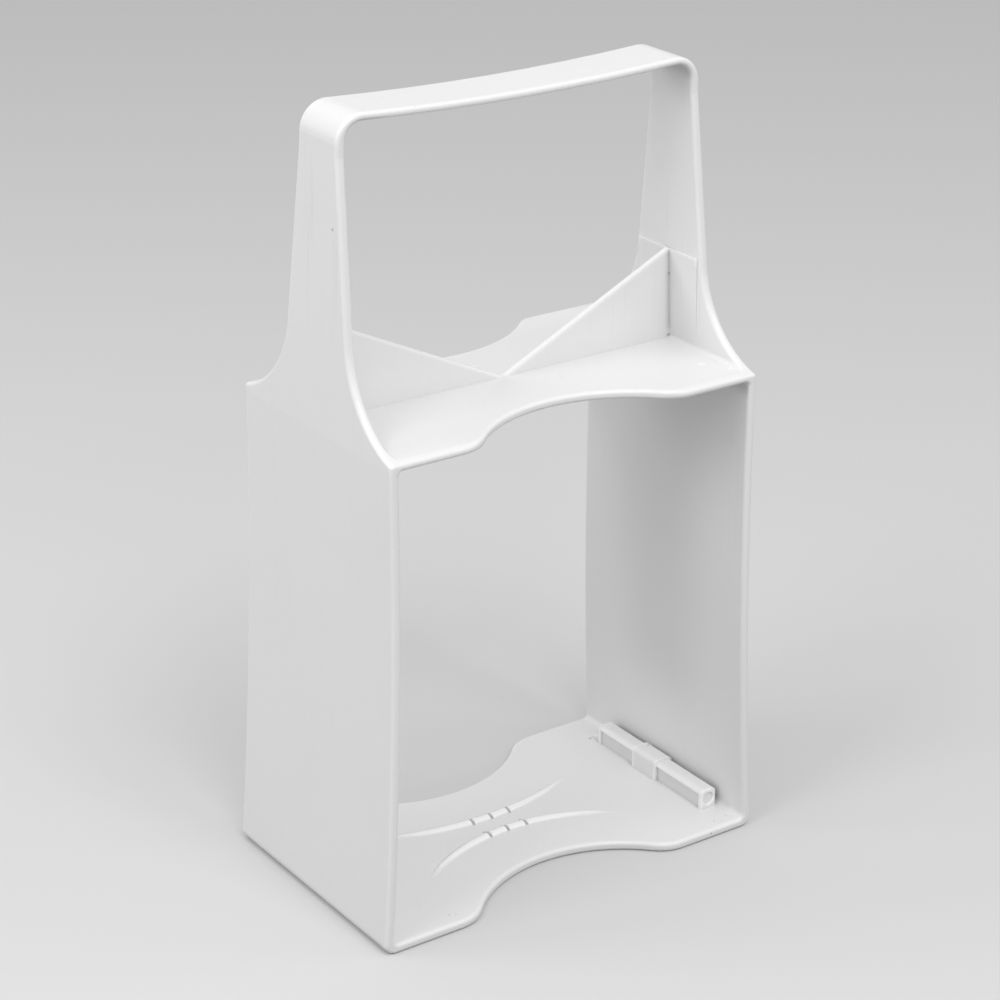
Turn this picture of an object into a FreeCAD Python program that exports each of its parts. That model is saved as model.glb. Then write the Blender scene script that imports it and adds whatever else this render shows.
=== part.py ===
import FreeCAD, Part
import math
import os
import Sketcher

# A one-piece moulded can caddy: a closed frame of two walls, a floor and a shelf,
# whose walls narrow above the shelf into necks and meet in a flat carrying strip.
# X runs across the width, Y through the depth, Z up from the underside.

DIMENSIONS = (
    ("base_width", 116.6, "width over the walls at the floor"),
    ("shoulder_width", 109.4, "width over the walls at the shelf"),
    ("handle_width", 105.2, "width over the necks at the top"),
    ("base_depth", 70.6, "depth at the floor"),
    ("shoulder_depth", 66.1, "depth at the shelf"),
    ("shoulder_height", 129.7, "height of the shelf's upper face"),
    ("overall_height", 206.2, "height at the ends of the carrying strip"),
    ("wall_thick", 2.4, "thickness of walls and necks"),
    ("wall_bow", 1.3, "how far each wall bows into the bay"),
    ("floor_thick", 2.5, "thickness of the floor"),
    ("shelf_thick", 2.3, "thickness of the shelf"),
    ("handle_thick", 2.0, "thickness of the carrying strip"),
    ("handle_sag", 1.8, "how far the strip sags at mid-span"),
    ("handle_strip", 16.8, "depth of the carrying strip"),
    ("taper_top", 196.0, "height at which the necks stop tapering"),
    ("neck_foot", 26.5, "depth of a neck where the shoulder curve begins"),
    ("shoulder_radius", 26.8, "radius of the shoulder curve"),
    ("shoulder_drop", 0.5, "drop of the shelf's lip below the shelf face"),
    ("waist_radius", 38.2, "radius of the cut-outs in floor and shelf"),
    ("floor_waist", 40.9, "floor left between its two cut-outs"),
    ("shelf_waist", 39.2, "shelf left between its two cut-outs"),
    ("lip_round", 11.0, "corner between a lip and its cut-out"),
    ("base_corner", 2.8, "outer corner between floor and wall"),
    ("bay_corner", 1.4, "inner corner between floor and wall"),
    ("shelf_corner", 1.2, "corners between shelf and walls"),
    ("handle_bend", 7.0, "outer bend between neck and strip"),
    ("rim_round", 0.95, "rounding of every front and back edge"),
    ("gusset_thick", 1.3, "thickness of the two gussets on the shelf"),
    ("gusset_rise", 24.3, "height of the gussets at the necks"),
    ("ledge_step", 0.5, "extra wall under the ledge at the gusset's top"),
    ("ledge_margin", 1.6, "neck left plain at each side of the ledge"),
    ("bar_span", 98.2, "clear width between the two side bars"),
    ("bar_width", 5.0, "width of a side bar"),
    ("bar_height", 5.6, "height of a side bar above the floor"),
    ("bar_length", 46.0, "length of a side bar"),
    ("bar_shift", 2.3, "how far the bars sit forward of mid-depth"),
    ("bar_round", 1.3, "rounding of a side bar's long upper edges"),
    ("bar_end_bevel", 0.3, "bevel round a side bar's ends and recess"),
    ("collar_length", 10.2, "length of the collar round a bar"),
    ("collar_step", 0.4, "height of the collar over its bar"),
    ("collar_shift", 0.5, "how far the collar sits forward of mid-depth"),
    ("panel_depth", 0.5, "depth of the two sunk panels in a bar's inner side"),
    ("panel_border", 1.2, "border left between a panel and the bar's end or top"),
    ("recess_width", 3.4, "diameter of the recess in a bar's front end"),
    ("recess_depth", 0.6, "depth of that recess"),
    ("tail_length", 5.5, "length of the ramp behind a bar"),
    ("tail_width", 3.4, "width of that ramp"),
    ("tail_height", 2.4, "height of that ramp"),
    ("rib_gap", 7.6, "distance between the centre lines of the two floor ribs at mid-width"),
    ("rib_span", 62.0, "length of a floor rib from tip to tip"),
    ("rib_width", 3.0, "width of a floor rib at mid-width, from where it narrows to its tips"),
    ("rib_height", 0.85, "height of a floor rib at mid-width, from where it sinks into the floor"),
    ("front_rib_radius", 52.0, "radius of the front floor rib"),
    ("back_rib_radius", 72.0, "radius of the back floor rib"),
    ("notch_width", 0.9, "width of a notch through the floor ribs"),
    ("notch_pitch", 5.8, "distance between the three notches"),
)

os.makedirs("parts", exist_ok=True)
doc = FreeCAD.newDocument("can_caddy")
sheet = doc.addObject("Spreadsheet::Sheet", "Dimensions")
size = {}
for row, (alias, number, meaning) in enumerate(DIMENSIONS, start=1):
    sheet.set(f"A{row}", meaning)
    sheet.set(f"B{row}", str(number))
    sheet.setAlias(f"B{row}", alias)
    size[alias] = number
doc.recompute()

# Amount by which a cut runs past the material that it goes through
CLEAR = 10.0

# Distances within which an edge counts as lying at a level, and as touching a face
NEAR, TOUCH = 0.6, 0.1

# Cosine above which two directions count as parallel, and least angle worth rounding
PARALLEL = 0.999
CREASE = math.radians(8)

# Position numbers that a sketch gives to the parts of a line or an arc
START, END, CENTRE = 1, 2, 3
ORIGIN = (-1, 1)
X_AXIS, Y_AXIS = -1, -2


def bound(text):
    """Lead every size named in an expression back to the spreadsheet."""
    words = text.replace("(", "( ").replace(")", " )").split()
    return " ".join(f"Dimensions.{word}" if word in size else word for word in words)


def body_plane(role):
    """One of the body's own three base planes, found by its role."""
    return next(plane for plane in body.Origin.OriginFeatures if plane.Role == role)


class Drawing:
    """A sketch on a base plane of the body, with its points held by named sizes."""

    def __init__(self, role, name, lift=None):
        self.sketch = body.newObject("Sketcher::SketchObject", name)
        self.sketch.AttachmentSupport = (body_plane(role), [""])
        self.sketch.MapMode = "FlatFace"
        if lift:
            self.sketch.setExpression("AttachmentOffset.Base.z", bound(lift))

    def line(self, start, end):
        segment = Part.LineSegment(FreeCAD.Vector(*start), FreeCAD.Vector(*end))
        return self.sketch.addGeometry(segment, False)

    def outline(self, *points):
        """Straight lines from each point to the next, joined end to end."""
        lines = [self.line(a, b) for a, b in zip(points, points[1:])]
        for first, second in zip(lines, lines[1:]):
            self.join((first, END), (second, START))
        return lines

    def arc(self, centre, start, end):
        """An arc that runs anticlockwise from start to end."""
        angles = [math.atan2(y - centre[1], x - centre[0]) for x, y in (start, end)]
        circle = Part.Circle(FreeCAD.Vector(*centre), FreeCAD.Vector(0, 0, 1), math.dist(centre, start))
        return self.sketch.addGeometry(Part.ArcOfCircle(circle, *angles), False)

    def circle(self, centre, radius):
        circle = Part.Circle(FreeCAD.Vector(*centre), FreeCAD.Vector(0, 0, 1), radius)
        return self.sketch.addGeometry(circle, False)

    def rule(self, kind, *where):
        return self.sketch.addConstraint(Sketcher.Constraint(kind, *where))

    def join(self, first, second):
        self.rule("Coincident", *first, *second)

    def on_axis(self, point, axis):
        self.rule("PointOnObject", *point, axis)

    def measure(self, kind, where, now, text):
        """A size that starts at its present amount and is then led by the spreadsheet."""
        number = self.sketch.addConstraint(Sketcher.Constraint(kind, *where, now))
        self.sketch.setExpression(f"Constraints[{number}]", bound(text))

    def across(self, point, text):
        now = self.sketch.getPoint(*point).x
        self.measure("DistanceX", (*ORIGIN, *point), now, text)

    def up(self, point, text):
        now = self.sketch.getPoint(*point).y
        self.measure("DistanceY", (*ORIGIN, *point), now, text)

    def radius(self, curve, text):
        self.measure("Radius", (curve,), self.sketch.Geometry[curve].Radius, text)


def check(feature):
    """Recompute and stop at the first feature that did not come out whole."""
    doc.recompute()
    faulty = {"Invalid", "Error"} & set(feature.State)
    if faulty or feature.Shape.isNull() or not feature.Shape.isValid():
        raise RuntimeError(f"{feature.Name} did not build: {feature.State}")
    return feature


def pad(drawing, name, length, symmetric=False, reverse=False):
    feature = body.newObject("PartDesign::Pad", name)
    feature.Profile = drawing.sketch
    feature.SideType = "Symmetric" if symmetric else "One side"
    feature.Reversed = reverse
    feature.setExpression("Length", bound(length))
    return check(feature)


def pocket(drawing, name, length, symmetric=False, reverse=False):
    before = body.Tip.Shape.Volume
    feature = body.newObject("PartDesign::Pocket", name)
    feature.Profile = drawing.sketch
    feature.SideType = "Symmetric" if symmetric else "One side"
    feature.Reversed = reverse
    feature.setExpression("Length", bound(length))
    check(feature)
    if feature.Shape.Volume >= before:
        raise RuntimeError(f"{name} removes nothing")
    return feature


def mirror(originals, name, role):
    feature = body.newObject("PartDesign::Mirrored", name)
    feature.Originals = originals
    feature.MirrorPlane = (body_plane(role), [""])
    body.Tip = feature
    return check(feature)


def dress_edges(kind, amount, name, chosen, text):
    """Give a dressing of that kind to the edges of the present shape for which chosen(edge) holds."""
    base = body.Tip
    names = [f"Edge{i}" for i, edge in enumerate(base.Shape.Edges, start=1) if chosen(edge)]
    if not names:
        raise RuntimeError(f"{name} finds no edge")
    feature = body.newObject(f"PartDesign::{kind}", name)
    feature.Base = (base, names)
    feature.setExpression(amount, bound(text))
    return check(feature)


def round_edges(name, chosen, radius):
    return dress_edges("Fillet", "Radius", name, chosen, radius)


def bevel_edges(name, chosen, width):
    return dress_edges("Chamfer", "Size", name, chosen, width)


body = doc.addObject("PartDesign::Body", "caddy")
body.Label = "caddy"
doc.recompute()


def frame_section():
    """Right half of the frame seen from the front: one outline round floor, wall, shelf, neck and strip."""
    foot, shoulder, top = size["base_width"] / 2, size["shoulder_width"] / 2, size["handle_width"] / 2
    wall, floor, shelf = size["wall_thick"], size["floor_thick"], size["shelf_thick"]
    deck, height = size["shoulder_height"], size["overall_height"]
    sag, strip = size["handle_sag"], size["handle_thick"]
    rise = "(shoulder_height - shelf_thick)"
    lean = "((base_width - shoulder_width) / 2)"
    wall_curve = f"((({rise} ^ 2 + {lean} ^ 2) / 4 + wall_bow ^ 2) / (2 * wall_bow))"

    draw = Drawing("XZ_Plane", "FrameSection")
    bend = ((deck - shelf) ** 2 / 4 + size["wall_bow"] ** 2) / (2 * size["wall_bow"])
    wall_centre = ((foot + shoulder) / 2 + bend, (deck - shelf) / 2)
    crown = (0, height - sag + top**2 / (2 * sag))

    under = draw.line((0, 0), (foot, 0))
    outside = draw.arc(wall_centre, (shoulder, deck - shelf), (foot, 0))
    neck = draw.line((shoulder, deck - shelf), (top, height))
    strip_top = draw.arc(crown, (0, height - sag), (top, height))
    middle = draw.line((0, height - sag), (0, height - sag - strip))
    strip_under = draw.arc(crown, (0, height - sag - strip), (top - wall, height - strip))
    neck_inside, deck_top, deck_edge, deck_under = draw.outline(
        (top - wall, height - strip),
        (shoulder - wall, deck),
        (0, deck),
        (0, deck - shelf),
        (shoulder - wall, deck - shelf),
    )
    inside = draw.arc(wall_centre, (shoulder - wall, deck - shelf), (foot - wall, floor))
    floor_top, floor_edge = draw.outline((foot - wall, floor), (0, floor), (0, 0))

    for first, second in (
        ((under, END), (outside, END)),
        ((outside, START), (neck, START)),
        ((neck, END), (strip_top, END)),
        ((strip_top, START), (middle, START)),
        ((middle, END), (strip_under, START)),
        ((strip_under, END), (neck_inside, START)),
        ((deck_under, END), (inside, START)),
        ((inside, END), (floor_top, START)),
        ((floor_edge, END), (under, START)),
        ((under, START), ORIGIN),
        ((inside, CENTRE), (outside, CENTRE)),
        ((strip_under, CENTRE), (strip_top, CENTRE)),
    ):
        draw.join(first, second)
    draw.on_axis((under, END), X_AXIS)
    for point in ((middle, START), (middle, END), (strip_top, CENTRE)):
        draw.on_axis(point, Y_AXIS)
    for point in ((deck_top, END), (deck_edge, END), (floor_top, END)):
        draw.on_axis(point, Y_AXIS)
    for flat in (deck_top, deck_under, floor_top):
        draw.rule("Horizontal", flat)
    draw.rule("Parallel", neck_inside, neck)

    draw.across((under, END), "base_width / 2")
    draw.across((neck, START), "shoulder_width / 2")
    draw.across((neck, END), "handle_width / 2")
    draw.up((neck, START), rise)
    draw.up((neck, END), "overall_height")
    draw.up((middle, START), "overall_height - handle_sag")
    draw.up((middle, END), "overall_height - handle_sag - handle_thick")
    draw.up((deck_top, END), "shoulder_height")
    draw.up((deck_edge, END), "shoulder_height - shelf_thick")
    draw.up((floor_top, END), "floor_thick")
    draw.measure("Distance", (neck_inside, END, neck), wall, "wall_thick")
    draw.radius(outside, wall_curve)
    draw.radius(inside, wall_curve + " + wall_thick")
    return draw


def side_trim():
    """What is cut away behind the frame, seen from the side: lean, shoulder curve and neck."""
    foot, shoulder = size["base_depth"] / 2, size["shoulder_depth"] / 2
    lip = size["shoulder_height"] - size["shoulder_drop"]
    neck, strip = size["neck_foot"] / 2, size["handle_strip"] / 2
    curve, taper_top = size["shoulder_radius"], size["taper_top"]
    far, above = foot + CLEAR, size["overall_height"] + CLEAR

    draw = Drawing("YZ_Plane", "SideTrimSection")
    centre = (neck + curve, lip + curve)
    begin = (neck, lip + curve)
    taper, upright, over, back, below, foot_line, lean = draw.outline(
        begin,
        (strip, taper_top),
        (strip, above),
        (far, above),
        (far, -CLEAR),
        (foot, -CLEAR),
        (foot, 0),
        (shoulder, lip),
    )
    shoulder_curve = draw.arc(centre, begin, (shoulder, lip))
    draw.join((lean, END), (shoulder_curve, END))
    draw.rule("Tangent", shoulder_curve, START, taper, START)

    for upright_line in (upright, back, foot_line):
        draw.rule("Vertical", upright_line)
    for level in (over, below):
        draw.rule("Horizontal", level)
    draw.across((taper, START), "neck_foot / 2")
    draw.across((upright, START), "handle_strip / 2")
    draw.across((foot_line, END), "base_depth / 2")
    draw.across((lean, END), "shoulder_depth / 2")
    draw.across((back, START), f"base_depth / 2 + {CLEAR}")
    draw.up((upright, START), "taper_top")
    draw.up((over, START), f"overall_height + {CLEAR}")
    draw.up((below, START), f"-{CLEAR}")
    draw.on_axis((lean, START), X_AXIS)
    draw.up((lean, END), "shoulder_height - shoulder_drop")
    draw.radius(shoulder_curve, "shoulder_radius")
    return draw


def waist_cut(name, waist, lift=None):
    """Two round cut-outs, front and back, that leave a waist of the given depth."""
    draw = Drawing("XY_Plane", name, lift)
    reach = size[waist] / 2 + size["waist_radius"]
    for side, sign in ((-reach, "-"), (reach, "")):
        ring = draw.circle((0, side), size["waist_radius"])
        draw.on_axis((ring, CENTRE), Y_AXIS)
        draw.up((ring, CENTRE), f"{sign}({waist} / 2 + waist_radius)")
        draw.radius(ring, "waist_radius")
    return draw


def along_y(edge):
    direction = edge.tangentAt(edge.FirstParameter)
    return edge.Curve.TypeId == "Part::GeomLine" and abs(direction.y) > PARALLEL


def corner_at(*heights):
    """A test for edges that run from front to back at one of these heights."""
    return lambda edge: along_y(edge) and any(abs(edge.CenterOfMass.z - level) < NEAR for level in heights)


def is_shelf_corner(edge):
    """Whether an edge is one between the shelf's faces and the inside of a wall or neck."""
    deck, inside = size["shoulder_height"], size["shoulder_width"] / 2 - size["wall_thick"] / 2
    at_shelf = corner_at(deck, deck - size["shelf_thick"])
    return at_shelf(edge) and abs(edge.CenterOfMass.x) < inside


def is_rim(edge):
    """Whether an edge closes the front or back of the frame and its faces meet at a clear angle."""
    if along_y(edge):
        return False
    middle = edge.valueAt((edge.FirstParameter + edge.LastParameter) / 2)
    faces = body.Tip.Shape.ancestorsOfType(edge, Part.Face)
    normals = [face.normalAt(*face.Surface.parameter(middle)) for face in faces]
    return len(normals) == 2 and normals[0].getAngle(normals[1]) > CREASE


def is_lip_corner(edge):
    """Whether an edge is a short upright one where a cut-out meets the front or back of a plate."""
    direction = edge.tangentAt(edge.FirstParameter)
    short = edge.Length < 2 * max(size["floor_thick"], size["shelf_thick"])
    inside = abs(edge.CenterOfMass.x) < size["waist_radius"]
    return short and inside and abs(direction.z) > PARALLEL


def neck_outside(rise):
    """Outer face of the right neck at a rise above the shelf: its place, and that as an expression."""
    top_rise = size["overall_height"] - size["shoulder_height"] + size["shelf_thick"]
    lean = (size["shoulder_width"] - size["handle_width"]) / 2 / top_rise
    place = size["shoulder_width"] / 2 - lean * (size.get(rise, 0) + size["shelf_thick"])
    lean_text = "((shoulder_width - handle_width) / 2 / (overall_height - shoulder_height + shelf_thick))"
    return place, f"shoulder_width / 2 - {lean_text} * ({rise} + shelf_thick)"


def gusset_section():
    """Right gusset from the front: it rises from mid-shelf to the ledge's lip and runs into the neck."""
    deck, rise, bury = size["shoulder_height"], size["gusset_rise"], size["shelf_thick"] / 2
    (high, high_text), (low, low_text) = neck_outside("gusset_rise"), neck_outside("0")
    wall, step = size["wall_thick"], size["ledge_step"]
    draw = Drawing("XZ_Plane", "GussetSection")
    lift, slope, level, back, under = draw.outline(
        (0, deck - bury),
        (0, deck),
        (high - wall - step, deck + rise),
        (high - wall / 2, deck + rise),
        (low - wall / 2, deck - bury),
        (0, deck - bury),
    )
    draw.join((under, END), (lift, START))
    draw.on_axis((lift, START), Y_AXIS)
    draw.on_axis((lift, END), Y_AXIS)
    draw.rule("Horizontal", level)
    draw.rule("Horizontal", under)
    draw.up((lift, END), "shoulder_height")
    draw.up((lift, START), "shoulder_height - shelf_thick / 2")
    draw.up((slope, END), "shoulder_height + gusset_rise")
    draw.across((slope, END), f"{high_text} - wall_thick - ledge_step")
    draw.across((level, END), f"{high_text} - wall_thick / 2")
    draw.across((back, END), f"{low_text} - wall_thick / 2")
    return draw


def ledge_section():
    """Thickening inside the right neck, from nothing at the shelf to a ledge at the gusset's top."""
    deck, rise = size["shoulder_height"], size["gusset_rise"]
    (high, high_text), (low, low_text) = neck_outside("gusset_rise"), neck_outside("0")
    wall, step = size["wall_thick"], size["ledge_step"]
    draw = Drawing("XZ_Plane", "LedgeSection")
    level, face, foot, back = draw.outline(
        (high - wall / 2, deck + rise),
        (high - wall - step, deck + rise),
        (low - wall, deck),
        (low - wall / 2, deck),
        (high - wall / 2, deck + rise),
    )
    draw.join((back, END), (level, START))
    for flat in (level, foot):
        draw.rule("Horizontal", flat)
    draw.up((level, START), "shoulder_height + gusset_rise")
    draw.up((foot, START), "shoulder_height")
    draw.across((level, START), f"{high_text} - wall_thick / 2")
    draw.across((level, END), f"{high_text} - wall_thick - ledge_step")
    draw.across((foot, START), f"{low_text} - wall_thick")
    draw.across((foot, END), f"{low_text} - wall_thick / 2")
    return draw


def bar_section(name, shift, step="0"):
    """A side bar from the front, with rounded upper corners; a collar stands a step proud of it."""
    margin = size.get(step, 0)
    left, right = size["bar_span"] / 2 - margin, size["bar_span"] / 2 + size["bar_width"] + margin
    low, high = size["floor_thick"] / 2, size["floor_thick"] + size["bar_height"] + margin
    curve = size["bar_round"]
    draw = Drawing("XZ_Plane", name, shift)
    (under,) = draw.outline((left, low), (right, low))
    (outer,) = draw.outline((right, low), (right, high - curve))
    outer_bend = draw.arc((right - curve, high - curve), (right, high - curve), (right - curve, high))
    (top,) = draw.outline((right - curve, high), (left + curve, high))
    inner_bend = draw.arc((left + curve, high - curve), (left + curve, high), (left, high - curve))
    (inner,) = draw.outline((left, high - curve), (left, low))
    draw.join((under, END), (outer, START))
    draw.join((inner, END), (under, START))
    for first, second in ((outer, outer_bend), (outer_bend, top), (top, inner_bend), (inner_bend, inner)):
        draw.rule("Tangent", first, END, second, START)
    for level in (under, top):
        draw.rule("Horizontal", level)
    for upright in (outer, inner):
        draw.rule("Vertical", upright)
    draw.across((inner, END), f"bar_span / 2 - {step}")
    draw.across((outer, START), f"bar_span / 2 + bar_width + {step}")
    draw.up((under, START), "floor_thick / 2")
    draw.up((top, START), f"floor_thick + bar_height + {step}")
    draw.radius(outer_bend, "bar_round")
    draw.radius(inner_bend, "bar_round")
    return draw


def panel_outlines():
    """The two panels sunk into a bar's inner side, one on each side of the collar."""
    floor, border = size["floor_thick"], size["panel_border"]
    top = floor + size["bar_height"] - border
    collar = [f"{sign}(collar_length / 2) - collar_shift" for sign in ("-", "")]
    collar_ends = [sign * size["collar_length"] / 2 - size["collar_shift"] for sign in (-1, 1)]
    bar = [f"{sign}(bar_length / 2 - panel_border) - bar_shift" for sign in ("-", "")]
    bar_ends = [sign * (size["bar_length"] / 2 - border) - size["bar_shift"] for sign in (-1, 1)]
    draw = Drawing("YZ_Plane", "PanelOutlines", "bar_span / 2")
    for near, far, near_text, far_text in zip(collar_ends, bar_ends, collar, bar):
        under, end, over, start = draw.outline((near, floor), (far, floor), (far, top), (near, top), (near, floor))
        draw.join((start, END), (under, START))
        for level in (under, over):
            draw.rule("Horizontal", level)
        for upright in (end, start):
            draw.rule("Vertical", upright)
        draw.across((under, START), near_text)
        draw.across((under, END), far_text)
        draw.up((under, START), "floor_thick")
        draw.up((over, START), "floor_thick + bar_height - panel_border")
    return draw


def recess_section():
    """The round recess, on the plane of a bar's front end."""
    draw = Drawing("XZ_Plane", "RecessSection", "bar_shift + bar_length / 2")
    x, z = size["bar_span"] / 2 + size["bar_width"] / 2, size["floor_thick"] + size["bar_height"] / 2
    ring = draw.circle((x, z), size["recess_width"] / 2)
    draw.across((ring, CENTRE), "bar_span / 2 + bar_width / 2")
    draw.up((ring, CENTRE), "floor_thick + bar_height / 2")
    draw.radius(ring, "recess_width / 2")
    return draw


def tail_section():
    """The ramp from a bar's back end down to the floor, seen from the side."""
    back = size["bar_length"] / 2 - size["bar_shift"]
    far, floor, high = back + size["tail_length"], size["floor_thick"], size["tail_height"]
    draw = Drawing("YZ_Plane", "TailSection", "bar_span / 2 + bar_width / 2")
    front, slope, end, under = draw.outline(
        (back, floor / 2), (back, floor + high), (far, floor), (far, floor / 2), (back, floor / 2)
    )
    draw.join((under, END), (front, START))
    draw.rule("Vertical", front)
    draw.rule("Vertical", end)
    draw.rule("Horizontal", under)
    draw.across((front, START), "bar_length / 2 - bar_shift")
    draw.across((slope, END), "bar_length / 2 - bar_shift + tail_length")
    draw.up((front, START), "floor_thick / 2")
    draw.up((slope, START), "floor_thick + tail_height")
    draw.up((slope, END), "floor_thick")
    return draw


def rib_section(name, curve, side):
    """A half disc on the middle plane, and the tilted axis round which it is swept into a rib.

    The tilt lets the rib sink into the floor towards its tips. side is -1 for the front rib and 1
    for the back one.
    """
    half, height, radius = size["rib_span"] / 2, size["rib_height"], size[curve]
    round_radius = (size["rib_width"] ** 2 / 4 + height**2) / (2 * height)
    tilt = math.atan(height / (radius - math.sqrt(radius**2 - half**2)))
    across, along = side * math.cos(tilt), -math.sin(tilt)
    middle = (side * size["rib_gap"] / 2, size["floor_thick"] + height - round_radius)
    pivot = (middle[0] + radius * across, middle[1] + radius * along)
    reach = (round_radius * across, round_radius * along)
    ends = [(middle[0] + sign * reach[0], middle[1] + sign * reach[1]) for sign in (1, -1)]
    if side < 0:
        ends.reverse()

    draw = Drawing("YZ_Plane", name)
    axis = draw.line(pivot, (pivot[0] - radius * along, pivot[1] + radius * across * side))
    arm = draw.line(middle, pivot)
    for helper in (axis, arm):
        draw.sketch.toggleConstruction(helper)
    dome = draw.arc(middle, *ends)
    base = draw.line(ends[1], ends[0])
    draw.join((arm, END), (axis, START))
    draw.join((arm, START), (dome, CENTRE))
    draw.join((base, START), (dome, END))
    draw.join((base, END), (dome, START))
    draw.rule("Perpendicular", axis, arm)
    draw.rule("Equal", axis, arm)
    draw.rule("Parallel", base, arm)
    draw.on_axis((dome, CENTRE), base)

    sign = "-" if side < 0 else ""
    sag = f"({curve} - sqrt({curve} ^ 2 - rib_span ^ 2 / 4))"
    section = "((rib_width ^ 2 / 4 + rib_height ^ 2) / (2 * rib_height))"
    draw.across((dome, CENTRE), f"{sign}(rib_gap / 2)")
    draw.up((dome, CENTRE), f"floor_thick + rib_height - {section}")
    draw.radius(dome, section)
    slope = f"rib_height / {sag}"
    draw.across((arm, END), f"{sign}(rib_gap / 2 + {curve} * cos(atan({slope})))")
    draw.up((arm, END), f"floor_thick + rib_height - {section} - {curve} * sin(atan({slope}))")
    return draw


def sweep_rib(name, curve, side):
    """Turn a rib's section about its tilted axis, a little past both tips."""
    drawing = rib_section(name + "Section", curve, side)
    doc.recompute()
    feature = body.newObject("PartDesign::Revolution", name)
    feature.Profile = drawing.sketch
    feature.ReferenceAxis = (drawing.sketch, ["Axis0"])
    feature.Midplane = True
    feature.setExpression("Angle", bound(f"2 * asin((rib_span / 2 + rib_width) / {curve})"))
    return check(feature)


def notch_plan():
    """The leftmost notch from above: a narrow slot across both floor ribs."""
    pitch, half = size["notch_pitch"], size["notch_width"] / 2
    reach = size["rib_gap"] / 2 + size["rib_width"]
    draw = Drawing("XY_Plane", "NotchPlan", "floor_thick")
    front, right, back, left = draw.outline(
        (-pitch - half, -reach),
        (-pitch + half, -reach),
        (-pitch + half, reach),
        (-pitch - half, reach),
        (-pitch - half, -reach),
    )
    draw.join((left, END), (front, START))
    for level in (front, back):
        draw.rule("Horizontal", level)
    for upright in (right, left):
        draw.rule("Vertical", upright)
    draw.across((front, START), "-(notch_pitch + notch_width / 2)")
    draw.across((front, END), "-(notch_pitch - notch_width / 2)")
    draw.up((front, START), "-(rib_gap / 2 + rib_width)")
    draw.up((back, START), "rib_gap / 2 + rib_width")
    return draw


def is_bar_end(edge):
    """Whether an edge bounds the end face of a side bar, above the floor and clear of the ramp."""
    x, y, z = edge.CenterOfMass
    ends = [end * size["bar_length"] / 2 - size["bar_shift"] for end in (-1, 1)]
    half, off_centre = size["bar_width"] / 2, abs(abs(x) - size["bar_span"] / 2 - size["bar_width"] / 2)
    at_end = any(abs(y - end) < TOUCH for end in ends) and off_centre < half + TOUCH
    over_ramp = z > size["floor_thick"] + size["tail_height"] + TOUCH
    beside_ramp = off_centre > half - TOUCH and z > size["floor_thick"] + TOUCH
    return at_end and (over_ramp or beside_ramp)


# Frame

frame_half = pad(frame_section(), "FrameHalf", f"base_depth + 2 * {CLEAR}", symmetric=True)
mirror([frame_half], "Frame", "YZ_Plane")

crown = size["overall_height"]
round_edges("BaseCorners", corner_at(0), "base_corner")
round_edges("BayCorners", corner_at(size["floor_thick"]), "bay_corner")
round_edges("HandleBends", corner_at(crown), "handle_bend")
round_edges("HandleBendsInside", corner_at(crown - size["handle_thick"]), "handle_bend - wall_thick")
round_edges("ShelfCorners", is_shelf_corner, "shelf_corner")

trim_back = pocket(side_trim(), "TrimBack", f"base_width + 2 * {CLEAR}", symmetric=True)
mirror([trim_back], "Trim", "XZ_Plane")

floor_rings = waist_cut("FloorWaist", "floor_waist")
shelf_rings = waist_cut("ShelfWaist", "shelf_waist", "shoulder_height")
pocket(floor_rings, "FloorCut", "4 * floor_thick", symmetric=True)
pocket(shelf_rings, "ShelfCut", "4 * shelf_thick", symmetric=True)
round_edges("LipCorners", is_lip_corner, "lip_round")
round_edges("Rims", is_rim, "rim_round")

# Gussets and ledges above the shelf

gusset = pad(gusset_section(), "Gusset", "gusset_thick", symmetric=True)
mirror([gusset], "Gussets", "YZ_Plane")
ledge = pad(ledge_section(), "Ledge", "neck_foot - 2 * ledge_margin", symmetric=True)
mirror([ledge], "Ledges", "YZ_Plane")

# Side bars on the floor

bar = pad(bar_section("BarSection", "bar_shift"), "Bar", "bar_length", symmetric=True)
collar_profile = bar_section("CollarSection", "collar_shift", "collar_step")
collar = pad(collar_profile, "Collar", "collar_length", symmetric=True)
panels = pocket(panel_outlines(), "Panels", "panel_depth", reverse=True)
recess = pocket(recess_section(), "Recess", "recess_depth")
tail = pad(tail_section(), "Tail", "tail_width", symmetric=True)
mirror([bar, collar, panels, recess, tail], "Bars", "YZ_Plane")
bevel_edges("BarEnds", is_bar_end, "bar_end_bevel")

# Ribs on the floor

sweep_rib("FrontRib", "front_rib_radius", -1)
sweep_rib("BackRib", "back_rib_radius", 1)
notch = pocket(notch_plan(), "Notch", "2 * rib_height", reverse=True)
notches = body.newObject("PartDesign::LinearPattern", "Notches")
notches.Originals = [notch]
notches.Direction = (notch.Profile[0], ["H_Axis"])
notches.Occurrences = 3
notches.setExpression("Length", bound("2 * notch_pitch"))
body.Tip = notches
check(notches)

# Output

for item in doc.Objects:
    if {"Invalid", "Error"} & set(item.State):
        raise RuntimeError(f"{item.Name} did not build: {item.State}")
if len(body.Shape.Solids) != 1:
    raise RuntimeError(f"{body.Label} is not one solid")
body.Shape.exportStep(f"parts/{body.Label}.step")
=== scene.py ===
# %% [markdown]
# # A white can caddy in satin plastic
#
# The caddy is one moulding: a floor for a can, two walls, a shelf with two gussets, and a flat
# carrying strip. Its shape is finished before this lesson starts, so Blender has three jobs here:
# the view, the light and the plastic. The shape comes in as a fixed frame, in metres, with X across
# the width, Y from front to back and Z up. One call loads it, and it is never moved or edited.
# Measures on the caddy are written in millimetres, and one factor turns them into metres. Only what
# stands round it, such as the floor and the lamps, is given in metres straight away.

# %% Load the finished shape
import math

import bpy
from mathutils import Matrix, Vector


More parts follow.
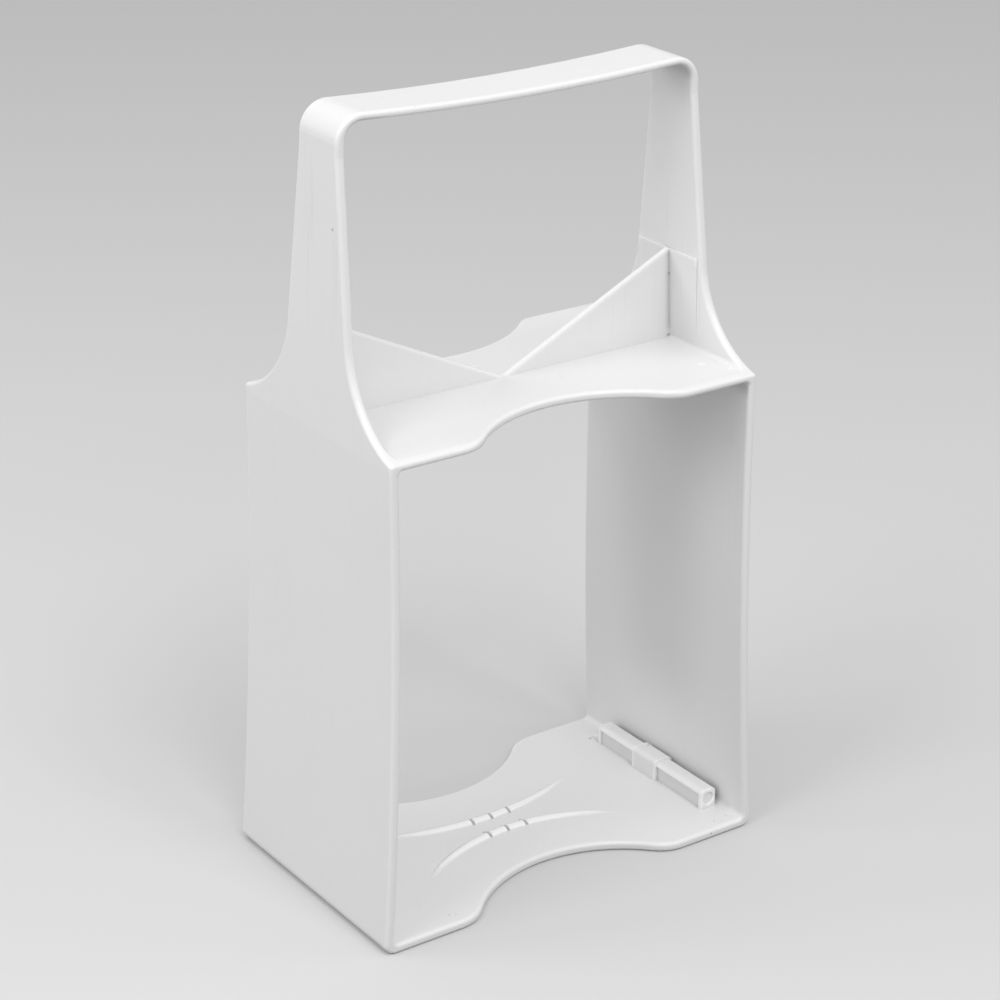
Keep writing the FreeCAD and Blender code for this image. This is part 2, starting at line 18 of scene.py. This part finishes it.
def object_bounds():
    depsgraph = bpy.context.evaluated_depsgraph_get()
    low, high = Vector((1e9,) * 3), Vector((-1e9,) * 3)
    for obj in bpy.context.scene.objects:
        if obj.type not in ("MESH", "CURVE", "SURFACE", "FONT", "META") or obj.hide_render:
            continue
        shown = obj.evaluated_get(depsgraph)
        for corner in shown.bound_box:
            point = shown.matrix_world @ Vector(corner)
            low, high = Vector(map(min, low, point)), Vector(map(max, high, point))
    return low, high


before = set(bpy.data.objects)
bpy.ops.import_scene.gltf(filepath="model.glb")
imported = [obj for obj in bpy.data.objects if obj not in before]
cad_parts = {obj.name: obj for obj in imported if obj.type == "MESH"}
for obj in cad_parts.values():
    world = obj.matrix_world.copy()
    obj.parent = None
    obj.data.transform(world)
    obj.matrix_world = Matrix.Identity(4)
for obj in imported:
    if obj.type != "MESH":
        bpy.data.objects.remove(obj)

MM = 0.001

solid_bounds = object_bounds()
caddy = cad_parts["caddy"]
far_corner = [round(v / MM, 1) for v in solid_bounds[1]]
print("caddy:", len(caddy.data.polygons), "faces, far corner at", far_corner, "mm")

# %% [markdown]
# ## The view
#
# The camera stands in front of the caddy, to its left and above it, and looks down on the floor of
# the bay. A long lens keeps the walls nearly parallel, as a catalogue photographer would. Blender
# can aim a camera with a constraint, but three numbers say it better: the bearing round the object,
# the height angle and the distance. From them come the three axes of the camera, and those are the
# columns of its matrix. One more angle tips the picture by a little over half a degree.

# %% Place the camera
AIM = Vector((-0.342, 0.0, 96.264)) * MM
BEARING = math.radians(-35.442)
HEIGHT_ANGLE = math.radians(23.34)
TIP = math.radians(0.62)
DISTANCE = 702.2 * MM
LENS, SENSOR = 99.84, 36.0
NEAREST, FARTHEST = 0.05, 20.0

back = Vector((
    math.sin(BEARING) * math.cos(HEIGHT_ANGLE),
    -math.cos(BEARING) * math.cos(HEIGHT_ANGLE),
    math.sin(HEIGHT_ANGLE),
))
level = Vector((math.cos(BEARING), math.sin(BEARING), 0.0))
upright = back.cross(level)
right = level * math.cos(TIP) + upright * math.sin(TIP)
up = back.cross(right)

camera = bpy.data.objects.new("camera", bpy.data.cameras.new("camera"))
camera.data.lens, camera.data.sensor_width = LENS, SENSOR
camera.data.clip_start, camera.data.clip_end = NEAREST, FARTHEST
axes = Matrix((right, up, back)).transposed().to_4x4()
camera.matrix_world = Matrix.Translation(AIM + back * DISTANCE) @ axes
bpy.context.scene.collection.objects.link(camera)
bpy.context.scene.camera = camera
print("camera at", [round(v / MM) for v in camera.matrix_world.translation], "mm")

# %% [markdown]
# ## Arithmetic with sockets
#
# A procedural finish is mostly arithmetic: masks are added, cut off and multiplied. Building that
# from nodes by hand hides the sum behind a wall of boxes, so this cell makes a small class that
# wraps one output socket. Adding two of them adds a Math node, and `1 - mask` works as well because
# the reflected forms are there. Colours and directions don't go through Math nodes, which would
# keep one channel only. They have Mix and Vector Math, with a method each.


# %% Wrap a socket and build a finish
class Signal:
    """One output socket of a finish, ready for arithmetic."""

    def __init__(self, finish, socket):
        self.finish, self.socket = finish, socket

    def math(self, operation, *values):
        return self.finish.add("ShaderNodeMath", {"operation": operation}, dict(enumerate(values)))

    def __add__(self, other):
        return self.math("ADD", self, other)

    __radd__ = __add__

    def __sub__(self, other):
        return self.math("SUBTRACT", self, other)

    def __rsub__(self, other):
        return self.math("SUBTRACT", other, self)

    def __mul__(self, other):
        return self.math("MULTIPLY", self, other)

    __rmul__ = __mul__

    def __abs__(self):
        return self.math("ABSOLUTE", self)

    def largest(self, other):
        return self.math("MAXIMUM", self, other)

    def step(self, low, high):
        """0 below low, 1 above high, and a smooth rise between them."""
        settings = {"interpolation_type": "SMOOTHSTEP"}
        values = {"Value": self, "From Min": low, "From Max": high}
        return self.finish.add("ShaderNodeMapRange", settings, values)


class Finish:
    """A material or a world, whose nodes all come from one method, add."""

    def __init__(self, owner):
        self.owner = owner
        owner.use_nodes = True
        self.nodes, self.links = owner.node_tree.nodes, owner.node_tree.links
        self.nodes.clear()

    def add(self, kind, settings=None, values=None, output=0):
        """A node of any kind: its settings first, then a value or a link for each socket named."""
        node = self.nodes.new(kind)
        for setting, value in (settings or {}).items():
            setattr(node, setting, value)
        for socket, value in (values or {}).items():
            if isinstance(value, Signal):
                self.links.new(value.socket, node.inputs[socket])
            else:
                node.inputs[socket].default_value = value
        return Signal(self, node.outputs[output]) if node.outputs else None

    def vector(self, operation, *values, output=0):
        return self.add("ShaderNodeVectorMath", {"operation": operation}, dict(enumerate(values)), output)

    def mix(self, factor, first, second):
        """A colour that goes from first to second as factor goes from 0 to 1."""
        settings = {"data_type": "RGBA", "clamp_factor": True}
        values = {"Factor": factor, 6: first, 7: second}
        return self.add("ShaderNodeMix", settings, values, output=2)


print("finishes are ready to build")

# %% [markdown]
# ## Where on the caddy a mark sits
#
# Every mark in this lesson is placed by the caddy's own coordinates, in millimetres, because a
# moulding has no unwrapped texture. So each finish starts from the object position times a
# thousand, and from there a number such as 0.4 is a real size. The noise helper takes the size of
# one blotch instead of a frequency, and can stretch it, which is how streaks and scratches are made.
# A band picks out a slice of the caddy, such as the faces between two heights.


# %% Read positions in millimetres
def millimetres(finish):
    place = finish.add("ShaderNodeTexCoord", output="Object")
    return finish.vector("MULTIPLY", place, (1 / MM, 1 / MM, 1 / MM))


def blotches(finish, place, blotch, stretch=(1, 1, 1), detail=2.0):
    """Noise from 0 to 1 whose blotches are about that many millimetres across, times the stretch."""
    scaled = finish.vector("MULTIPLY", place, tuple(1 / (blotch * s) for s in stretch))
    return finish.add("ShaderNodeTexNoise", {}, {"Vector": scaled, "Scale": 1.0, "Detail": detail})


def facing(finish, axis):
    """How far the surface faces along an axis, from -1 to 1."""
    normal = finish.add("ShaderNodeNewGeometry", output="True Normal")
    return finish.vector("DOT_PRODUCT", normal, axis, output="Value")


def band(value, low, high, soft=0.1):
    """1 between low and high, 0 outside, with a soft edge on either side."""
    return value.step(low, low + soft) * (1 - value.step(high - soft, high))


print("noise and bands are measured in millimetres")

# %% [markdown]
# ## The white plastic
#
# A moulding like this is white with a soft satin gloss. It is never quite even: the steel mould
# leaves a fine grain, and the melt leaves faint clouds and streaks that run up the necks and the
# walls. This cell makes those as plain masks from 0 to 1. Later cells add scuffs, creases, edges
# and single marks, and the last ones join them all in the shader.

# %% Mix the white plastic
WHITE = (0.82, 0.82, 0.82, 1.0)
# PALE paints the highlights on edges and rib tops, and the shelf's pale spots.
PALE = (0.97, 0.97, 0.97, 1.0)
GREYED = (0.72, 0.72, 0.72, 1.0)
SHADE = (0.40, 0.40, 0.40, 1.0)
# Colour of the dark dots: small specks, and painted shade at the notches, a gusset and a side bar.
SPECK_AND_SHADE = (0.30, 0.29, 0.28, 1.0)

plastic = Finish(bpy.data.materials.new("white_plastic"))
place = millimetres(plastic)
across, along, height = (
    plastic.add("ShaderNodeSeparateXYZ", {}, {"Vector": place}, output=axis) for axis in "XYZ"
)
upward = facing(plastic, (0, 0, 1)).step(0.6, 0.95)

cloud = blotches(plastic, place, 24.0, detail=3.0)
grain = blotches(plastic, place, 0.35, detail=1.0)
ripple = blotches(plastic, place, 9.0)
streak = blotches(plastic, place, 1.6, stretch=(1, 1, 45)).step(0.60, 0.74)

print("white plastic:", len(plastic.nodes), "nodes so far")

# %% [markdown]
# Scratches are stretched noise cut off near its top, laid in two directions and kept to the faces
# that look up.


# %% Add scuffs
def scratches(finish, place, turn):
    """Fine lines in one direction over the upward faces."""
    settings = {"rotation_type": "Z_AXIS"}
    turned = finish.add("ShaderNodeVectorRotate", settings, {"Vector": place, "Angle": math.radians(turn)})
    return blotches(finish, turned, 0.5, stretch=(30, 1, 1)).step(0.70, 0.78)


scuff = scratches(plastic, place, 20).largest(scratches(plastic, place, 115)) * upward
print("white plastic:", len(plastic.nodes), "nodes with scuffs")

# %% [markdown]
# In a crease the faces shade each other, so creases get painted shade, and a longer reach finds
# the wider hollows for a softer painted shade. Outer edges catch the light, so they get a painted
# highlight. One node measures both. Ambient Occlusion sends short rays from the surface and tells
# how many get away. Outside the plastic it finds creases, and inside it finds edges. The reach of
# its rays is the width of the line.


# %% Find creases and edges
def blocked(finish, reach, inside=False):
    """The share of rays of that reach that hit the caddy: 0 on an open face, more in a crease."""
    settings = {"inside": inside, "samples": 4, "only_local": True}
    return 1 - finish.add("ShaderNodeAmbientOcclusion", settings, {"Distance": reach * MM}, output="AO")


# Painted shade in creases and, with a longer reach, in hollows; a painted highlight on outer edges.
crease = blocked(plastic, 2.5).step(0.20, 0.75)
hollow_shade = blocked(plastic, 16.0).step(0.25, 0.90)
edge = blocked(plastic, 1.2, inside=True).step(0.08, 0.40)
print("white plastic:", len(plastic.nodes), "nodes with creases and edges")

# %% [markdown]
# Bands pick out the small relief on the floor, which light alone hardly shows. The ribs stand less
# than a millimetre proud, so their tops get a painted highlight, and their back slopes and notches
# get painted shade. The sunk panels of the side bars get painted shade, so they are greyer than the
# frames round them. Left and right are the same, so the distance from the middle plane finds a place
# on both sides. An inner face is one that looks towards that plane, and then its place times its
# facing is positive on either side.

# %% Pick out the ribs, the notches and the panels
FLOOR_TOP = 2.5
BAR_TOP = 8.1
RIB_REACH = 32.5
NOTCH_PITCH, HALF_NOTCH = 5.8, 0.5
PANEL_PLACE = 49.6

sideways, lengthways = abs(across), abs(along)

between_tips = 1 - sideways.step(RIB_REACH - 1.5, RIB_REACH)
rib = band(height, FLOOR_TOP + 0.1, FLOOR_TOP + 1.5, soft=0.3) * between_tips
# Painted shade on the ribs' back slopes; the rest of each rib gets a painted highlight.
rib_back_shade = rib * facing(plastic, (0, 1, 0)).step(0.1, 0.4)

middle_notch = band(sideways, -1.0, HALF_NOTCH)
outer_notch = band(sideways, NOTCH_PITCH - HALF_NOTCH, NOTCH_PITCH + HALF_NOTCH)
across_ribs = band(lengthways, 2.2, 5.4) * band(height, FLOOR_TOP - 0.2, FLOOR_TOP + 0.6)
# Painted shade in the notches.
notch_shade = middle_notch.largest(outer_notch) * across_ribs

inner_face = (across * facing(plastic, (-1, 0, 0))).step(35.0, 45.0)
# Painted shade in the sunk panels of the side bars.
panel_shade = band(sideways, PANEL_PLACE - 0.2, PANEL_PLACE + 0.2, soft=0.05) * inner_face
panel_shade = panel_shade * band(height, FLOOR_TOP, BAR_TOP - 0.1)
print("white plastic:", len(plastic.nodes), "nodes with the relief")

# %% [markdown]
# Shade gathers at a few places more than a crease alone explains: at the gussets' ends, under the
# bends of the strip, in the corners under the shelf's lips, and along the middle of the walls
# inside. A pale room lights those too evenly, so each gets a mask of its own.

# %% Find the deepest shade
SHELF_TOP, LEDGE_TOP = 129.7, 152.5
BEND_FOOT, BEND_TOP = 190.0, 199.0

near_gusset = 1 - lengthways.step(2.5, 3.5)
gusset_end = crease * near_gusset * height.step(SHELF_TOP + 1.3, SHELF_TOP + 4.3)

downward = facing(plastic, (0, 0, -1))
at_bend = band(sideways, 38.0, 54.0, soft=5.0) * height.step(BEND_FOOT, BEND_TOP)
under_bend = downward.step(-0.2, 0.7) * at_bend

lip_corner = lengthways.step(22.0, 34.0) * sideways.step(40.0, 53.0)
at_lip = band(height, SHELF_TOP - 7.7, SHELF_TOP - 0.5, soft=4.0) * lip_corner
under_lip = at_lip * inner_face.largest(downward.step(0.05, 0.4))

mid_wall = inner_face * (1 - lengthways.step(2.0, 24.0)) * band(height, 12.0, 132.0, soft=30.0)
print("white plastic:", len(plastic.nodes), "nodes with the shade")

# %% [markdown]
# Other creases and edges should hardly show. The gussets' feet blend into the shelf, the slots
# behind the side bars stay light except at their front ends, and the ledges fade out at both ends.
# These masks say where the painted crease shade or the painted edge highlight is held back.

# %% Hold creases and edges back
gusset_foot = near_gusset * band(height, SHELF_TOP - 0.7, SHELF_TOP + 2.8, soft=0.5)
behind_bar = band(sideways, 54.0, 58.0) * band(height, FLOOR_TOP - 0.5, BAR_TOP + 0.9)
slot = behind_bar * along.step(-22.0, -19.0)

at_ledge = band(height, SHELF_TOP + 1.3, LEDGE_TOP, soft=1.0) * sideways.step(48.0, 49.0)
ledge_end = at_ledge * band(lengthways, 11.0, 12.1)
beside_ledge = at_ledge * band(lengthways, 11.0, 14.5)

# Painted shade in the creases, held back at the gussets' feet, the slots and beside the ledges.
crease_shade = crease * (1 - gusset_foot * 0.8) * (1 - slot * 0.8) * (1 - beside_ledge)
# Painted highlight on the outer edges, held back at the ledges' ends.
edge_highlight = edge * (1 - ledge_end)
print("white plastic:", len(plastic.nodes), "nodes with the plain places")

# %% [markdown]
# The last masks are single marks. Dark dots at the back end of each notch, at the top and the foot of
# the right gusset and on the right side bar are painted shade, and the others are small dark specks.
# Soft pale spots sit on the shelf. Each is a place and a radius, and the distance to that place draws
# it. The helper joins a whole list of them into one mask.

# %% Set single marks
# Small dark specks on the floor.
FLOOR_DOTS = [
    ((-36.6, -31.0, 2.5), 0.35),
    ((-35.0, -31.5, 2.5), 0.30),
    ((48.4, -31.9, 2.5), 0.35),
    ((50.3, -32.9, 2.5), 0.30),
    ((53.0, -31.2, 2.5), 0.30),
    ((44.6, -35.2, 1.5), 0.45),
]
# Painted shade at the back corners and the collar of the right side bar.
BAR_SHADE_DOTS = [
    ((49.6, 19.8, 8.1), 0.45),
    ((52.9, 2.8, 8.5), 0.50),
    ((48.9, 24.0, 2.5), 0.70),
]
# A small dark speck on the left neck, and painted shade at the top and the foot of the right gusset.
NECK_DOTS = [
    ((-53.3, -7.0, 179.0), 0.60),
    ((51.4, -0.8, 147.3), 0.60),
    ((51.9, -0.8, 130.5), 0.70),
]
# Painted shade at the back end of each notch.
NOTCH_SHADE_DOTS = [((x, y, 2.6), 0.9) for x in (-NOTCH_PITCH, 0.0, NOTCH_PITCH) for y in (5.2, -2.4)]
PALE_SPOTS = [
    ((46.8, -20.8, 129.7), 1.3),
    ((50.7, -27.2, 129.7), 0.9),
    ((-1.6, 9.7, 129.7), 0.9),
]


def marks(finish, place, spots, soft):
    """Every spot of a list as one mask."""
    mask = None
    for centre, radius in spots:
        distance = finish.vector("DISTANCE", place, centre, output="Value")
        spot = 1 - distance.step(radius * (1 - soft), radius)
        mask = mask.largest(spot) if mask else spot
    return mask


dark_dots = FLOOR_DOTS + BAR_SHADE_DOTS + NECK_DOTS + NOTCH_SHADE_DOTS
dark_dot = marks(plastic, place, dark_dots, soft=0.9)
pale_spot = marks(plastic, place, PALE_SPOTS, soft=0.4)
print("white plastic:", len(plastic.nodes), "nodes with", len(dark_dots) + len(PALE_SPOTS), "marks")

# %% [markdown]
# The masks now meet in the shader. Each Mix lays one more coat over the colour so far: first the
# uneven white, then scuffs, streaks and the panels' painted shade, then the rest of the painted
# shade, and last the painted highlights on edges and rib tops, the pale spots and the dark dots. The
# factors are the strengths of the coats, and streaks are stronger on the necks than on the walls.

# %% Lay the colours
NECK_FOOT, NECK_WAIST = 130.0, 145.0

streaky = streak * (height.step(NECK_FOOT, NECK_WAIST) * 0.25 + 0.1)
# Painted shade: hollows, creases, gussets' ends, bends, lips, the walls' middle, notches, rib backs.
shaded = hollow_shade * height.step(10.0, 60.0) * 0.25 + crease_shade * 0.35 + gusset_end * 0.5
shaded = shaded + under_bend * 0.6 + under_lip * 0.5 + mid_wall * 0.22
shaded = shaded + notch_shade * 0.5 + rib_back_shade * 0.35
# Painted highlight on the outer edges and the rib tops, with the shelf's pale spots.
paler = edge_highlight * 0.85 + (rib - rib_back_shade) * 0.9 + pale_spot * 0.4

tone = plastic.mix(cloud * 0.25 + 0.75, GREYED, WHITE)
tone = plastic.mix(scuff * 0.35 + streaky, tone, GREYED)
# Painted shade in the sunk panels.
tone = plastic.mix(panel_shade * 0.8, tone, GREYED)
tone = plastic.mix(shaded, tone, SHADE)
tone = plastic.mix(paler, tone, PALE)
tone = plastic.mix(dark_dot * 0.75, tone, SPECK_AND_SHADE)
print("white plastic:", len(plastic.nodes), "nodes with the colour")

# %% [markdown]
# Roughness takes the ripple and the scuffs, so the gloss wavers a little. Relief is in millimetres
# and takes what could be felt with a fingernail, through one Bump node.

# %% Finish the white plastic
sheen = 0.30 + ripple * 0.12 + scuff * 0.12
relief = grain * 0.012 + ripple * 0.03 + streak * 0.02 - scuff * 0.02 - dark_dot * 0.02

bump = plastic.add("ShaderNodeBump", {}, {"Height": relief, "Distance": MM, "Strength": 1.0})
surface = plastic.add(
    "ShaderNodeBsdfPrincipled",
    {},
    {"Base Color": tone, "Roughness": sheen, "Normal": bump, "IOR": 1.49},
)
plastic.add("ShaderNodeOutputMaterial", {}, {"Surface": surface})

caddy.data.materials.clear()
caddy.data.materials.append(plastic.owner)
print("white plastic:", len(plastic.nodes), "nodes in all")

# %% [markdown]
# ## The floor
#
# A white object needs a floor that is pale but darker than itself, or its edges vanish. One large
# plane does. A pale floor would also throw light up on the caddy and flatten it, so a Light Path
# node tells the two uses apart: the floor is pale grey where it is looked at, and darker where it
# gives light. It lies a hair lower than the caddy, so that the two never share a plane.


# %% Lay the floor
FLOOR_HALF = 3.0
FLOOR_DROP = 0.02 * MM
PALE_GREY = (0.66, 0.66, 0.66, 1.0)
QUIET_GREY = (0.32, 0.32, 0.32, 1.0)


def looked_at(finish):
    """1 for what the camera sees, straight or in a reflection, and 0 for what gives light."""
    camera_ray, glossy_ray, clear_ray = (
        finish.add("ShaderNodeLightPath", output=f"Is {kind} Ray")
        for kind in ("Camera", "Glossy", "Transmission")
    )
    return camera_ray.largest(glossy_ray).largest(clear_ray)


corners = [(x * FLOOR_HALF, y * FLOOR_HALF, 0) for x, y in ((-1, -1), (1, -1), (1, 1), (-1, 1))]
floor_mesh = bpy.data.meshes.new("floor")
floor_mesh.from_pydata(corners, [], [(0, 1, 2, 3)])
floor = bpy.data.objects.new("floor", floor_mesh)
floor.location.z = -FLOOR_DROP
bpy.context.scene.collection.objects.link(floor)

ground = Finish(bpy.data.materials.new("pale_floor"))
grey = ground.mix(looked_at(ground), QUIET_GREY, PALE_GREY)
matt = {"Base Color": grey, "Roughness": 0.9, "Specular IOR Level": 0.1}
ground.add("ShaderNodeOutputMaterial", {}, {"Surface": ground.add("ShaderNodeBsdfPrincipled", {}, matt)})
floor.data.materials.append(ground.owner)
print("floor", 2 * FLOOR_HALF, "m wide")

# %% [markdown]
# The world works the same way. It gives even light from all sides, which keeps every shade soft,
# and where it is looked at, behind the floor, it shows plain grey.

# %% Set the world
BACKDROP = (0.60, 0.60, 0.60, 1.0)
WHITE_LIGHT = (1.0, 1.0, 1.0, 1.0)
WORLD_LIGHT = 0.625

studio = Finish(bpy.data.worlds.new("studio"))
light = studio.add("ShaderNodeBackground", {}, {"Color": WHITE_LIGHT, "Strength": WORLD_LIGHT})
backdrop = studio.add("ShaderNodeBackground", {}, {"Color": BACKDROP})
shown = studio.add("ShaderNodeMixShader", {}, {"Fac": looked_at(studio), 1: light, 2: backdrop})
studio.add("ShaderNodeOutputWorld", {}, {"Surface": shown})
bpy.context.scene.world = studio.owner
print("world light", WORLD_LIGHT)

# %% [markdown]
# ## Lamps
#
# Four soft boxes light the plastic. The key hangs above and in front, so the shelf, the floor and
# the strip are the brightest faces. The left one lights the outer wall, and a lower one behind it
# draws a line along the back edges. The right one is the weakest and fills the inside of the left
# wall and neck. The far wall's inside gets the least light, which gives the caddy its depth.


# %% Hang the soft boxes
def soft_box(name, place, aim, width, power):
    """A square lamp at a place in metres, turned to its aim, with its width and its watts."""
    lamp = bpy.data.lights.new(name, "AREA")
    lamp.shape = "SQUARE"
    lamp.size = width
    lamp.energy = power
    holder = bpy.data.objects.new(name, lamp)
    holder.location = place
    holder.rotation_euler = (Vector(aim) - Vector(place)).to_track_quat("-Z", "Y").to_euler()
    bpy.context.scene.collection.objects.link(holder)


soft_box("key_box", (-0.10, -0.75, 1.05), (0, 0, 0.08), 0.60, 5.7)
soft_box("left_box", (-0.70, -0.10, 0.85), (0, 0, 0.10), 0.40, 2.15)
soft_box("back_box", (-0.80, 0.45, 0.45), (0, 0, 0.10), 0.40, 1.7)
soft_box("right_box", (0.80, -0.50, 0.90), (0, 0, 0.08), 0.40, 0.9)

# %% [markdown]
# ## Plain colours
#
# The picture keeps its plain colours with the Standard view.

# %% Keep the colours plain
bpy.context.scene.view_settings.view_transform = "Standard"
